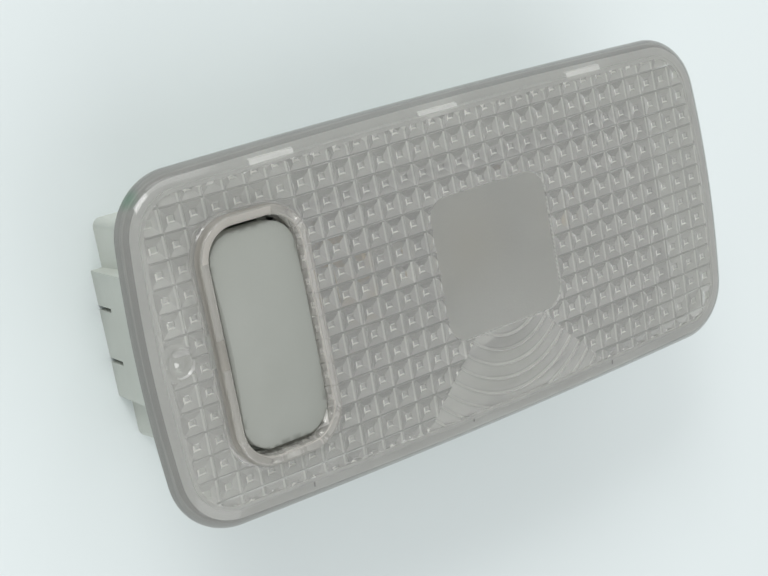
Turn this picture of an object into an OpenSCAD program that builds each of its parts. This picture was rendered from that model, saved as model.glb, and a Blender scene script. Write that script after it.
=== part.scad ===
// Recessed interior light for a vehicle roof: crowned prism lens, deep housing,
// three-position rocker switch and a festoon bulb in a sheet reflector.
// Millimetres. X runs along the lamp, Y across it, Z out of the lens.
// The back of the housing lies at Z = 0.

/* [Lamp] */
// overall depth, from the back of the housing to the top of the lens crown
lamp_depth = 38; // [34:0.5:46]

/* [Lens] */
// length over the middle of the bowed ends
lens_length = 128.2; // [116:0.1:156]
// width over the middle of the bowed sides
lens_width = 60.4; // [56:0.1:74]
// height from the back of the skirt to the top of the crown
lens_height = 5.8; // [5.6:0.1:8]
// radius of the four corners in plan
lens_corner = 11; // [7:0.5:16]
// how far each end bows out
end_bow = 2; // [0.5:0.1:4]
// how far each long side bows out
side_bow = 0.8; // [0.3:0.1:2]
// fall of the crown from the middle to the ends
crown_long = 1.46; // [0.4:0.02:1.8]
// fall of the crown from the middle to the sides
crown_wide = 0.92; // [0.3:0.02:1.4]
// thickness of the lens face
lens_wall = 2; // [1.6:0.1:2.4]
// thickness of the skirt beside the flange
skirt_wall = 2; // [1.4:0.1:2.6]
// radius of the rounded rim
rim_round = 4.5; // [2:0.1:5.5]
// width of the ledge that sits on the flange
ledge_width = 1.4; // [1:0.1:2.5]

/* [Prisms] */
// spacing of the square prisms
prism_pitch = 4; // [3:0.1:6]
// height of a prism
prism_height = 0.7; // [0.3:0.05:0.8]
// place of the matt window along the lamp
window_x = 6.6; // [0:0.1:14]
// length of the window
window_length = 26.3; // [18:0.1:34]
// width of the window
window_width = 25.6; // [16:0.1:34]
// corner radius of the window
window_corner = 3.8; // [1:0.1:8]
// radius of the first fan rib
fan_first = 9.7; // [6:0.1:14]
// spacing of the fan ribs
fan_pitch = 2.57; // [2:0.01:4]
// number of fan ribs
fan_count = 8; // [4:1:9]
// centre of the fan below the middle of the window
fan_drop = 5; // [0:0.1:8]
// half angle of the fan
fan_angle = 45; // [30:1:60]
// radius of the round gate mark
gate_radius = 2.4; // [1:0.1:3]

/* [Rocker] */
// place of the rocker along the lamp
rocker_x = -42.6; // [-44:0.1:-40]
// width of the button along the lamp
button_width = 16; // [13:0.1:17]
// length of the button across the lamp
button_length = 35.8; // [30:0.1:36.4]
// corner radius of the button
button_corner = 4.8; // [3:0.1:6]
// height of the button over the lens crown
button_rise = 1.4; // [0.8:0.1:2.4]
// swing of the rocker to each side
rocker_swing = 6; // [3:0.5:6.5]
// gap beside the button in the collar
collar_gap = 0.6; // [0.4:0.05:1]
// gap at the ends of the button in the collar
collar_end_gap = 1; // [0.8:0.05:1.4]
// wall of the collar
collar_wall = 1.7; // [1.2:0.1:2.4]
// height of the collar over the lens face
collar_rise = 1.5; // [0.8:0.1:2]
// radius of the trunnion pins
pin_radius = 1.5; // [1.2:0.05:1.8]
// radial clearance round a trunnion pin
pin_clearance = 0.08; // [0.03:0.01:0.1]

/* [Housing] */
// length of the box
box_length = 102.4; // [98:0.1:112]
// width of the box
box_width = 40; // [39.6:0.1:46]
// wall of the box
box_wall = 1.8; // [1.4:0.1:2]
// outer corner radius of the box
box_corner = 1.6; // [1:0.1:4]
// thickness of the flange under the lens
flange_wall = 1.6; // [1.2:0.1:1.8]
// gap between the flange edge and the skirt
flange_gap = 0.15; // [0.1:0.05:0.4]
// depth of the plug pocket
pocket_depth = 9; // [8:0.5:11]
// thickness of the switch chamber floor
chamber_floor = 1.8; // [1.4:0.1:2.2]
// width of the latch block on the left end
latch_width = 22.8; // [16:0.1:28]
// how far the latch block stands out at the back
latch_out = 2.2; // [1.5:0.1:3]
// slope of the latch block
latch_slope = 0.107; // [0.05:0.005:0.14]
// height of the latch block
latch_height = 24.5; // [18:0.5:26]
// width of the tongue between the two latch slots
tongue_width = 9.5; // [6:0.1:14]
// width of a latch slot
latch_slot = 0.8; // [0.5:0.1:1.5]

/* [Snap tongues of the lens] */
// spacing of the snap tongues along a side
snap_spacing = 34.4; // [28:0.2:38]
// width of a snap tongue
snap_width = 8.4; // [6:0.1:10]
// thickness of a snap tongue
snap_wall = 1.1; // [0.9:0.1:1.3]
// reach of the hook under the flange
snap_hook = 0.6; // [0.4:0.1:0.8]

/* [Electrics] */
// thickness of contact strip and blades
strip_wall = 0.8; // [0.5:0.05:1]
// width of a plug blade
blade_width = 6.3; // [4.8:0.1:6.3]
// width of the strips to the bulb
strip_width = 3; // [2.4:0.1:3.4]
// radius of a rivet shank
rivet_radius = 1.2; // [0.8:0.05:1.3]
// half length of the seesaw contact
seesaw_half = 10; // [8.5:0.1:11]
// width of the seesaw contact
seesaw_width = 5; // [4:0.1:5.6]
// height of the seesaw over the chamber floor
seesaw_height = 3.2; // [3:0.1:4]
// radius of the switch plunger
plunger_radius = 2; // [1.6:0.1:2.2]
// turns of the plunger spring
spring_turns = 9; // [6:1:12]

/* [Bulb and reflector] */
// place of the middle of the bulb along the lamp
bulb_x = 7; // [2:0.5:12]
// length between the two clips
bulb_span = 41.6; // [36:0.1:44]
// radius of the bulb glass
bulb_radius = 5.3; // [4:0.1:6]
// length of the bulb glass
glass_length = 26; // [20:0.5:30]
// height of the bulb axis over the back
bulb_height = 22; // [20:0.5:24]
// thickness of the reflector sheet
reflector_wall = 0.6; // [0.4:0.05:0.8]
// half width of the reflector floor
reflector_floor = 7.5; // [5:0.5:10]

/* [Roof clips] */
// width of a roof clip
clip_width = 9; // [7:0.1:12]
// thickness of a roof clip
clip_wall = 0.8; // [0.5:0.05:1]
// reach of a roof clip from the box wall
clip_reach = 8.2; // [4:0.1:9]

/* [Hidden] */
$fn = 48;
eps = 0.01;
seat_z = lamp_depth - lens_height;
flange_top = seat_z + flange_wall;
half_l = lens_length / 2;
half_w = lens_width / 2;
end_r = (half_w * half_w + end_bow * end_bow) / (2 * end_bow);
side_r = (half_l * half_l + side_bow * side_bow) / (2 * side_bow);
crown_rx = half_l * half_l / (2 * crown_long);
crown_ry = half_w * half_w / (2 * crown_wide);
// corner centre: the point lens_corner inside both edge arcs
end_cx = half_l - end_r;
side_cy = half_w - side_r;
ra = end_r - lens_corner;
rb = side_r - lens_corner;
dc = sqrt(end_cx * end_cx + side_cy * side_cy);
along = (ra * ra - rb * rb + dc * dc) / (2 * dc);
across = sqrt(ra * ra - along * along);
ux = -end_cx / dc;
uy = side_cy / dc;
corner_x = end_cx + along * ux - across * uy;
corner_y = along * uy + across * ux;
end_ang = asin(corner_y / ra);
side_ang = asin(corner_x / rb);
side_steps = 5;
crown_cols = 21;
crown_rows = 11;
proud = 0.02;
cavity_inset = skirt_wall + ledge_width;
open_w = button_width + 2 * collar_gap;
open_l = button_length + 2 * collar_end_gap;
open_corner = button_corner + collar_gap;
collar_w = open_w + 2 * collar_wall;
collar_l = open_l + 2 * collar_wall;
collar_corner = open_corner + collar_wall;
box_hl = box_length / 2;
box_hw = box_width / 2;
in_hl = box_hl - box_wall;
in_hw = box_hw - box_wall;
floor_z = pocket_depth + chamber_floor;
wall_l = -in_hl;
stem_half = rocker_x - wall_l - 0.3;
part_x = rocker_x + (rocker_x - wall_l);
part_x1 = part_x + box_wall;
axis_z = seat_z - 1.2;
cap_z0 = flange_top + 0.7;
cap_top = lamp_depth + button_rise;
ear_half = 3;
strip_z1 = floor_z + strip_wall;
tab_z1 = strip_z1 + strip_wall;
seesaw_z = floor_z + seesaw_height;
tip_z = seesaw_z + 0.6 + 0.4;
plunger_top = tip_z + 10;
bore_top = cap_top - 2.4;
hole_radius = rivet_radius + 0.05;
head_radius = rivet_radius + 0.8;
feed_y = 3.3;
rivet_x = part_x - head_radius - 0.2;
door_y = in_hw - 3.8;
blade_y = in_hw - 1.6;
clip_l = bulb_x - bulb_span / 2;
clip_r = bulb_x + bulb_span / 2;
refl_z = floor_z + 2.6;
refl_top = axis_z;
rib_x = [clip_l - 9, bulb_x, clip_r + 9];
refl_x0 = part_x1 + 0.6;
refl_x1 = in_hl - 0.8;
refl_hw = in_hw - 1.2;
snap_out = half_w - side_bow - skirt_wall - 0.1;
snap_in = snap_out - snap_wall;
snap_x = [-snap_spacing, 0, snap_spacing];
clear = [0.80, 0.82, 0.82, 0.4];
grey = [0.74, 0.76, 0.73];
light_grey = [0.72, 0.73, 0.70];
brass = [0.78, 0.65, 0.36];
steel = [0.66, 0.67, 0.69];

function crown_z(x, y) = lamp_depth - x * x / (2 * crown_rx) - y * y / (2 * crown_ry);

// section of a plate edge with a rounded top corner
module edge_section(r_in, r_out, z0, z1, f) {
  if (f > 0) {
    translate([r_in, z0])
      square([r_out - r_in - f, z1 - z0]);
    translate([r_in, z0])
      square([r_out - r_in, z1 - z0 - f]);
    translate([r_out - f, z1 - f])
      circle(f);
  } else {
    translate([r_in, z0])
      square([r_out - r_in, z1 - z0]);
  }
}

module sector(r_in, r_out, z0, z1, f, a0, a1) {
  rotate([0, 0, a0])
    rotate_extrude(angle = a1 - a0, $fn = max(48, round(360 * 3 / (a1 - a0))))
      edge_section(r_in, r_out, z0, z1, f);
}

// bowed outline of the lens, drawn in by inset: the corner discs stand a hair
// proud of the arcs, so that every pair of curves crosses cleanly
module outline(inset) {
  ex = 20 * cos(end_ang);
  ey = 20 * sin(end_ang);
  square([2 * corner_x, 2 * corner_y], center = true);
  for (k = [0, 1])
    mirror([0, k])
      polygon(concat([[corner_x, corner_y], [corner_x - 1, corner_y - 1],
          [1 - corner_x, corner_y - 1], [-corner_x, corner_y]],
        [for (i = [-side_steps:side_steps])
          let (a = side_ang * i / side_steps)
          [(side_r - inset) * sin(a), side_cy + (side_r - inset) * cos(a)]]));
  for (m = [0, 1])
    mirror([m, 0])
      intersection() {
        translate([end_cx, 0])
          circle(end_r - inset, $fn = 720);
        polygon([[corner_x - 1, 1 - corner_y], [corner_x - 1, corner_y - 1],
          [corner_x, corner_y], [corner_x + ex, corner_y + ey],
          [corner_x + ex, -corner_y - ey], [corner_x, -corner_y]]);
      }
  for (sx = [-1, 1], sy = [-1, 1])
    translate([sx * corner_x, sy * corner_y])
      circle(lens_corner - inset + proud, $fn = 96);
}

module slab(inset, z0, z1) {
  translate([0, 0, z0])
    linear_extrude(z1 - z0)
      outline(inset);
}

// closed solid under a height field: a grid of columns by rows points, flat below
module height_solid(cols, rows, dx, dy, base, tops, mids = []) {
  n = (cols + 1) * (rows + 1);
  x0 = -cols * dx / 2;
  y0 = -rows * dy / 2;
  foot = [[x0, y0, base], [-x0, y0, base], [-x0, -y0, base], [x0, -y0, base]];
  floor_first = n + len(mids);
  at = function(i, j) i * (rows + 1) + j;
  faces = [for (i = [0:cols - 1], j = [0:rows - 1])
    let (a = at(i, j), b = at(i + 1, j), c = at(i + 1, j + 1), d = at(i, j + 1), m = n + i * rows + j)
    each len(mids) > 0 ? [[a, m, b], [b, m, c], [c, m, d], [d, m, a]] : [[a, c, b], [a, d, c]]];
  low = [for (i = [0:cols]) at(i, 0)];
  high = [for (i = [cols:-1:0]) at(i, rows)];
  left = [for (j = [rows:-1:0]) at(0, j)];
  right = [for (j = [0:rows]) at(cols, j)];
  f = floor_first;
  polyhedron(concat(tops, mids, foot), concat(faces, [
    concat(low, [f + 1, f]), concat(right, [f + 2, f + 1]),
    concat(high, [f + 3, f + 2]), concat(left, [f, f + 3]),
    [f, f + 1, f + 2, f + 3]]));
}

// points round the outline, drawn in by inset, counter-clockwise from the right end
function half_rim(inset) =
  let (e = end_r - inset, c = lens_corner - inset, s = side_r - inset,
    turn = 90 - side_ang - end_ang)
  concat(
    [for (i = [-4:3]) let (a = end_ang * i / 4) [end_cx + e * cos(a), e * sin(a)]],
    [for (i = [0:7]) let (a = end_ang + turn * i / 8)
      [corner_x + c * cos(a), corner_y + c * sin(a)]],
    [for (i = [-5:4]) let (a = side_ang * i / 5) [-s * sin(a), side_cy + s * cos(a)]],
    [for (i = [0:7]) let (a = 90 + side_ang + turn * i / 8)
      [c * cos(a) - corner_x, corner_y + c * sin(a)]]);

// the same points at a height over or under the crown
function rim(inset, up) =
  let (p = half_rim(inset))
  [for (q = concat(p, -p)) [q[0], q[1], crown_z(q[0], q[1]) + up]];

function level(ring, z) = [for (q = ring) [q[0], q[1], z]];

// everything inside the rounded rim, open above the crown
module rim_form() {
  f = rim_round;
  rings = concat([level(rim(-0.03, 0), seat_z - 3)],
    [for (a = [0:15:90]) rim(f * (1 - cos(a)) - 0.03, f * (sin(a) - 1) + (a == 90 ? 0.02 : 0))],
    [rim(f + 0.8, 0.12), level(rim(f + 2, 0), lamp_depth + 1)]);
  n = len(rings[0]);
  m = len(rings);
  polyhedron([for (r = rings) each r],
    concat([[for (i = [0:n - 1]) i]],
      [for (k = [0:m - 2], i = [0:n - 1])
        let (j = (i + 1) % n, a = k * n + i, b = k * n + j, c = b + n, d = a + n)
        each [[a, d, c], [a, c, b]]],
      [[for (i = [n - 1:-1:0]) (m - 1) * n + i]]));
}

// everything below the outer face, crowned both ways
module crowned() {
  dx = (lens_length + 3) / crown_cols;
  dy = (lens_width + 3) / crown_rows;
  height_solid(crown_cols, crown_rows, dx, dy, seat_z - 3,
    [for (i = [0:crown_cols], j = [0:crown_rows])
      let (x = (i - crown_cols / 2) * dx, y = (j - crown_rows / 2) * dy)
      [x, y, crown_z(x, y)]]);
}

// everything below the inner face, with one square prism to each cell of the grid
module prism_ceiling() {
  cols = 2 * ceil((half_l - cavity_inset) / prism_pitch + 0.1);
  rows = 2 * ceil((half_w - cavity_inset) / prism_pitch + 0.1);
  p = prism_pitch;
  height_solid(cols, rows, p, p, seat_z - 3,
    [for (i = [0:cols], j = [0:rows])
      let (x = (i - cols / 2) * p, y = (j - rows / 2) * p)
      [x, y, crown_z(x, y) - lens_wall]],
    [for (i = [0:cols - 1], j = [0:rows - 1])
      let (x = (i + 0.5 - cols / 2) * p, y = (j + 0.5 - rows / 2) * p)
      [x, y, crown_z(x, y) - lens_wall - prism_height]]);
}

// rounded rectangle in plan, centred at x
module rr(w, l, r, x = 0) {
  translate([x, 0]) {
    square([w - 2 * r, l], center = true);
    square([w, l - 2 * r], center = true);
    for (sx = [-1, 1], sy = [-1, 1])
      translate([sx * (w / 2 - r), sy * (l / 2 - r)])
        circle(r);
  }
}

// block with rounded corners and a rounded top edge
module soft_block(w, l, r, z0, z1, f) {
  translate([-(w / 2 - r), -(l / 2 - r), z0])
    cube([w - 2 * r, l - 2 * r, z1 - z0]);
  for (s = [0, 180])
    rotate([0, 0, s]) {
      translate([0, l / 2 - r, 0])
        rotate([90, 0, 90])
          linear_extrude(w - 2 * r, center = true)
            edge_section(-0.5, r, z0, z1, f);
      translate([w / 2 - r, 0, 0])
        rotate([90, 0, 0])
          linear_extrude(l - 2 * r, center = true)
            edge_section(-0.5, r, z0, z1, f);
      translate([w / 2 - r, l / 2 - r, 0])
        sector(0, r, z0, z1, f, 0, 90);
      translate([-(w / 2 - r), l / 2 - r, 0])
        sector(0, r, z0, z1, f, 90, 180);
    }
}

module fan_zone() {
  translate([window_x, -fan_drop])
    polygon([[0, 0], [60 * sin(fan_angle), -60 * cos(fan_angle)], [0, -80],
      [-60 * sin(fan_angle), -60 * cos(fan_angle)]]);
}

// pad below the window with curved ribs, steep on their inner side
module fan() {
  deep = lamp_depth - lens_wall - prism_height - 0.2;
  intersection() {
    slab(cavity_inset - 0.5, flange_top + 0.2, lamp_depth - lens_wall + 0.4);
    difference() {
      translate([0, 0, deep - crown_wide])
        linear_extrude(prism_height + crown_wide + 0.9)
          difference() {
            fan_zone();
            rr(window_length - 0.6, window_width - 0.6, window_corner - 0.3, window_x);
          }
      for (k = [-1:fan_count - 1])
        let (r = fan_first + k * fan_pitch)
          translate([window_x, -fan_drop, 0])
            rotate([0, 0, 222])
              rotate_extrude(angle = 96, $fn = 160)
                polygon([[r, 20], [r + fan_pitch - 0.3, 20],
                  [r + fan_pitch - 0.3, fan_z(r + fan_pitch)], [r, fan_z(r) + prism_height]]);
    }
  }
}

// level of the rib edges at a radius of the fan
function fan_z(r) = crown_z(window_x, fan_drop + r) - lens_wall - prism_height - 0.1;

// snap tongue in plan, mirrored to both sides
module snap_place() {
  for (x = snap_x, s = [0, 1])
    mirror([0, s, 0])
      translate([x, 0, 0])
        children();
}

module lens() {
  face_z = crown_z(rocker_x, 0);
  color(clear)
    difference() {
      union() {
        intersection() {
          slab(0, seat_z, lamp_depth + 0.5);
          crowned();
          rim_form();
          difference() {
            translate([-half_l - 1, -half_w - 1, seat_z - 1])
              cube([2 * half_l + 2, 2 * half_w + 2, lens_height + 4]);
            intersection() {
              slab(cavity_inset, flange_top, lamp_depth);
              prism_ceiling();
            }
            slab(skirt_wall, seat_z - 2, flange_top);
          }
        }
        translate([rocker_x, 0, 0])
          soft_block(collar_w, collar_l, collar_corner, flange_top + 0.2,
            face_z + collar_rise, 0.7);
        fan();
        // pad behind the matt window
        translate([0, 0, lamp_depth - lens_wall - prism_height - 0.2])
          linear_extrude(prism_height + 0.9)
            rr(window_length, window_width, window_corner, window_x);
        // boss behind the gate mark
        translate([-half_l + 5.5, 0, crown_z(half_l, 0) - lens_wall - prism_height / 2])
          cylinder(h = 2, r = gate_radius + 0.6);
        snap_place() {
          translate([-snap_width / 2, snap_in, seat_z + 0.1])
            cube([snap_width, snap_wall, lens_height - 3.4]);
          translate([0, snap_in, seat_z + 0.1])
            rotate([90, 0, 90])
              linear_extrude(snap_width, center = true)
                polygon([[eps, 0], [-snap_hook * 0.4, 0], [-snap_hook, 0.45],
                  [-snap_hook, 0.8], [eps, 0.8]]);
        }
      }
      translate([rocker_x, 0, 0])
        translate([0, 0, seat_z])
          linear_extrude(lens_height + 6)
            rr(open_w, open_l, open_corner);
      // notch for the locating tab of the housing
      translate([rocker_x - collar_w / 2 - 0.4, -2.85, seat_z])
        cube([collar_wall + 0.8, 5.7, lens_height - 2]);
      // the ledge is cut away on both sides of each tongue
      snap_place()
        for (s = [-1, 1])
          translate([s * (snap_width / 2 + 0.9) - 0.9, half_w - side_bow - cavity_inset - 0.4,
            flange_top - 1])
            cube([1.8, ledge_width + 0.5, 2.2]);
      // shallow round gate mark in the outer face
      translate([-half_l + 5.5, 0, crown_z(half_l - 5.5, 0) - 0.4])
        cylinder(h = 4, r = gate_radius);
    }
}

// outline of the latch block, seen from the side
module latch_side(inset) {
  polygon([[-box_hl + 1, 0.01 + inset], [-box_hl - latch_out + inset, 0.01 + inset],
    [-box_hl - latch_out - latch_slope * latch_height + inset, latch_height + (inset > 0 ? 1 : 0)],
    [-box_hl + (inset > 0 ? 0 : 1), latch_height + (inset > 0 ? 1 : 0)],
    [-box_hl + (inset > 0 ? 0 : 1), 0.01 + inset]]);
}

module housing() {
  color(grey)
    difference() {
      union() {
        // box
        difference() {
          linear_extrude(seat_z + eps)
            rr(box_length, box_width, box_corner);
          translate([0, 0, box_wall])
            linear_extrude(lamp_depth)
              intersection() {
                rr(2 * in_hl, 2 * in_hw, 0.6);
                translate([part_x1, -in_hw - 1])
                  square([box_length, box_width]);
              }
          translate([wall_l, -in_hw, floor_z])
            cube([part_x - wall_l, 2 * in_hw, lamp_depth]);
          translate([wall_l, -in_hw, -1])
            cube([part_x - wall_l, 2 * in_hw, pocket_depth + 1]);
          // the partition stops below the button
          translate([part_x - 1, -in_hw, axis_z - 2])
            cube([box_wall + 2, 2 * in_hw, 10]);
        }
        // flange
        difference() {
          slab(skirt_wall + flange_gap, seat_z, flange_top);
          translate([0, 0, seat_z - 1])
            linear_extrude(6) {
              intersection() {
                rr(2 * in_hl, 2 * in_hw, 0.6);
                translate([part_x, -in_hw - 1])
                  square([box_length, box_width]);
              }
              rr(open_w, open_l, open_corner, rocker_x);
            }
          snap_place() {
            translate([-snap_width / 2 - 0.4, snap_in - 0.3, seat_z - 1])
              cube([snap_width + 0.8, 6, 6]);
            translate([-snap_width / 2 - 0.4, snap_in - snap_hook - 0.5, seat_z - 1])
              cube([snap_width + 0.8, 2, 2]);
          }
        }
        // bearing ears for the rocker
        for (x = [wall_l - box_wall, part_x])
          translate([x, 0, 0])
            rotate([90, 0, 90])
              linear_extrude(box_wall)
                polygon([[-ear_half - 3, axis_z - 3], [ear_half + 3, axis_z - 3],
                  [ear_half, flange_top - 0.2], [-ear_half, flange_top - 0.2]]);
        // locating tab that rises into the collar
        translate([rocker_x - open_w / 2 - collar_wall + 0.2, -2.7, flange_top - 0.5])
          cube([collar_wall - 0.3, 5.4, lens_height - 3.6]);
        // latch block on the left end
        rotate([90, 0, 0])
          linear_extrude(latch_width, center = true)
            latch_side(0);
        // fixed lugs on the right end
        for (y = [-12, 12])
          translate([0, y, 0])
            rotate([90, 0, 0])
              linear_extrude(6, center = true)
                polygon([[box_hl - 0.5, 14], [box_hl + 2.6, 20], [box_hl + 2.6, latch_height],
                  [box_hl - 0.5, latch_height]]);
        // ribs that carry the strips and the reflector
        for (x = rib_x)
          translate([x - 0.8, -reflector_floor, 0])
            cube([1.6, 2 * reflector_floor, refl_z]);
        // posts that guide the seesaw
        for (s = [-1, 1])
          translate([rocker_x + s * (seesaw_width / 2 + 0.9) - 0.5, -1.2, floor_z - eps])
            cube([1, 2.4, 5]);
        // rails that hold the feet of the roof clips
        for (s = [0, 1])
          mirror([0, s, 0])
            for (e = [0, 1])
              mirror([e, 0, 0])
                translate([clip_width / 2 + 0.15, box_hw - 0.1, 2]) {
                  cube([1.4, 1.2 + clip_wall, 7]);
                  translate([-1.2, clip_wall + 0.2, 0])
                    cube([1.4, 1, 7]);
                }
      }
      // cored back of the latch block
      rotate([90, 0, 0])
        linear_extrude(latch_width - 2 * box_wall, center = true)
          polygon([[-box_hl - latch_out + 1.8, 3],
            [-box_hl - 0.001, 3], [-box_hl - 0.001, latch_height + 1],
            [-box_hl - latch_out - latch_slope * latch_height + 1.8, latch_height + 1]]);
      // latch slots
      for (s = [-1, 1])
        translate([-box_hl - 4, s * tongue_width / 2 - latch_slot / 2, -1])
          cube([4, latch_slot, 7]);
      // bearing holes
      translate([wall_l - box_wall - 1, 0, axis_z])
        rotate([0, 90, 0])
          cylinder(h = part_x1 - wall_l + box_wall + 2, r = pin_radius + pin_clearance);
      // strip slots in the partition and the ribs
      for (y = [-feed_y, feed_y])
        translate([part_x - 1, y - strip_width / 2 - 0.2, floor_z])
          cube([clip_r + 12 - part_x, strip_width + 0.4, strip_wall + 0.4]);
      // rivet holes and blade slots in the chamber floor
      for (p = [[rivet_x, feed_y], [rivet_x, -feed_y], [rocker_x, door_y], [rocker_x, -door_y]])
        translate([p[0], p[1], pocket_depth - 1])
          cylinder(h = 4, r = hole_radius, $fn = 32);
      for (s = [-1, 1])
        translate([rocker_x - blade_width / 2 - 0.1, s * blade_y - (s > 0 ? 0 : strip_wall) - 0.1,
          pocket_depth - 1])
          cube([blade_width + 0.2, strip_wall + 0.2, 4]);
      translate([rivet_x - 1.5, feed_y + 2.2, pocket_depth - 1])
        cube([3, strip_wall + 0.2, 4]);
    }
}

module rocker_button() {
  color(light_grey)
    translate([rocker_x, 0, 0]) {
      difference() {
        union() {
          intersection() {
            soft_block(button_width, button_length, button_corner, cap_z0, cap_top + 0.2, 1.6);
            crowned_cap();
          }
          // tube for the plunger
          translate([0, 0, tip_z + 5.4])
            cylinder(h = bore_top - tip_z - 4, r = plunger_radius + 1.5);
        }
        difference() {
          translate([0, 0, cap_z0 - 1])
            linear_extrude(bore_top - cap_z0 + 1)
              rr(button_width - 3.2, button_length - 3.2, button_corner - 1.6);
          cylinder(h = cap_top, r = plunger_radius + 1.5);
          for (s = [-1, 1])
            translate([s * (stem_half - 0.7) - 0.7, -5, 0])
              cube([1.4, 10, cap_top]);
        }
        translate([0, 0, tip_z])
          cylinder(h = bore_top - tip_z - 0.4, r = plunger_radius + 0.1);
      }
      for (s = [-1, 1]) {
        translate([s * (stem_half - 0.7) - 0.7, -5, axis_z - 3])
          cube([1.4, 10, bore_top - axis_z + 3.4]);
        translate([s * (stem_half - 0.2), 0, axis_z])
          rotate([0, s * 90, 0])
            cylinder(h = 1.7, r = pin_radius);
      }
    }
}

// crowned top of the button, long arc across the lamp
module crowned_cap() {
  rl = 116;
  rw = 64;
  translate([0, 0, cap_top - rl])
    rotate([90, 0, 90])
      rotate([0, 0, 90 - 12])
        rotate_extrude(angle = 24, $fn = 360)
          intersection() {
            translate([rl - rw, 0])
              circle(rw, $fn = 180);
            translate([rl - 12, -15])
              square([14, 30]);
          }
}

module switch_plunger() {
  color(light_grey)
    translate([rocker_x, 0, 0])
      rotate_extrude() {
        intersection() {
          translate([0, tip_z + plunger_radius])
            circle(plunger_radius);
          translate([0, tip_z - 1])
            square([plunger_radius + 1, plunger_radius + 1]);
        }
        translate([0, tip_z + plunger_radius])
          square([plunger_radius, 8 - plunger_radius]);
        translate([0, tip_z + 7])
          square([plunger_radius - 0.9, 3]);
      }
}

// round wire along a helix, as a closed mesh
module switch_spring() {
  wire = 0.24;
  mean = plunger_radius - 0.4;
  z0 = tip_z + 8 + wire;
  z1 = bore_top - 0.45 - wire;
  per = 12;
  side = 6;
  n = spring_turns * per;
  pts = [for (i = [0:n]) let (a = i * 360 / per) for (k = [0:side - 1])
    let (b = k * 360 / side, r = mean + wire * cos(b))
    [r * cos(a), r * sin(a), z0 + (z1 - z0) * i / n + wire * sin(b)]];
  skin = [for (i = [0:n - 1], k = [0:side - 1]) let (m = (k + 1) % side)
    each [[i * side + k, i * side + side + m, i * side + m],
      [i * side + k, i * side + side + k, i * side + side + m]]];
  color(steel)
    translate([rocker_x, 0, 0])
      polyhedron(pts, concat(skin, [[for (k = [0:side - 1]) k]],
        [[for (k = [side - 1:-1:0]) n * side + k]]));
}

module seesaw_contact() {
  color(brass)
    translate([rocker_x, 0, seesaw_z]) {
      translate([-seesaw_width / 2, -seesaw_half, 0])
        cube([seesaw_width, 2 * seesaw_half, 0.6]);
      for (s = [-1, 1])
        translate([0, s * (seesaw_half - 1.6), -0.5])
          cylinder(h = 0.6, r = 1.3);
    }
}

module leaf(x, low) {
  translate([x, 0, 0])
    rotate([90, 0, 90])
      linear_extrude(strip_wall)
        difference() {
          polygon([[low, strip_z1 - eps], [4, strip_z1 - eps], [4, bulb_height + 2],
            [2.4, bulb_height + 4], [-2.4, bulb_height + 4], [-4, bulb_height + 2],
            [-4, strip_z1 + 1.4], [low, strip_z1 + 1.4]]);
          translate([0, bulb_height])
            circle(2.1);
        }
}

module common_contact() {
  y0 = -feed_y - strip_width / 2;
  y1 = -feed_y + strip_width / 2;
  color(brass) {
    difference() {
      union() {
        translate([0, 0, floor_z])
          linear_extrude(strip_wall) {
            translate([rocker_x - seesaw_width / 2, -2.2])
              square([seesaw_width, 4.4]);
            translate([rocker_x, y0])
              square([clip_r + strip_wall - rocker_x, strip_width]);
            translate([clip_r - 2, y0])
              square([2 + strip_wall, 4 - y0]);
          }
      }
      translate([rivet_x, -feed_y, floor_z - 1])
        cylinder(h = 3, r = hole_radius, $fn = 32);
    }
    // fulcrum under the seesaw
    translate([rocker_x - seesaw_width / 2, 0, strip_z1 - eps])
      rotate([90, 0, 90])
        linear_extrude(seesaw_width) {
          translate([-1, 0])
            square([2, seesaw_z - strip_z1 - 1.3]);
          translate([0, seesaw_z - strip_z1 - 1.3])
            circle(1, $fn = 32);
        }
    leaf(clip_r, -4);
  }
}

module feed_contact() {
  color(brass) {
    difference() {
      translate([0, 0, floor_z])
        linear_extrude(strip_wall) {
          translate([rivet_x - 1.4, feed_y - strip_width / 2])
            square([clip_l - rivet_x + 1.4, strip_width]);
          translate([clip_l - 2.2, -1])
            square([2.2, feed_y + strip_width / 2 + 1]);
        }
      translate([rivet_x, feed_y, floor_z - 1])
        cylinder(h = 3, r = hole_radius, $fn = 32);
    }
    translate([-strip_wall, 0, -strip_wall])
      translate([0, 0, strip_wall])
        leaf(clip_l, -1);
  }
}

// fixed contact at one end of the seesaw
module fixed_contact(s) {
  color(brass)
    difference() {
      union() {
        translate([rocker_x - 3, s > 0 ? seesaw_half - 3.2 : -blade_y + 0.3, floor_z])
          cube([6, blade_y - 0.3 - seesaw_half + 3.2, strip_wall]);
        translate([rocker_x, s * (seesaw_half - 1.6), strip_z1 - eps])
          cylinder(h = seesaw_z - strip_z1 - 1.6, r = 1.5);
      }
      translate([rocker_x, s * door_y, floor_z - 1])
        cylinder(h = 3, r = hole_radius, $fn = 32);
    }
}

module door_contact() {
  fixed_contact(1);
}

module earth_contact() {
  fixed_contact(-1);
}

// plug blade with its tab over the contact strip
module side_blade(s) {
  color(brass)
    translate([rocker_x, 0, 0])
      mirror([0, s > 0 ? 0 : 1, 0])
        difference() {
          union() {
            translate([-blade_width / 2, door_y - head_radius - 0.2, strip_z1])
              cube([blade_width, blade_y + strip_wall - door_y + head_radius + 0.2, strip_wall]);
            translate([0, blade_y + strip_wall, 0])
              rotate([90, 0, 0])
                linear_extrude(strip_wall)
                  polygon([[-blade_width / 2, tab_z1], [-blade_width / 2, 2.4],
                    [-blade_width / 2 + 1, 1.4], [blade_width / 2 - 1, 1.4],
                    [blade_width / 2, 2.4], [blade_width / 2, tab_z1]]);
          }
          translate([0, door_y, strip_z1 - 1])
            cylinder(h = 3, r = hole_radius, $fn = 32);
        }
}

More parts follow.
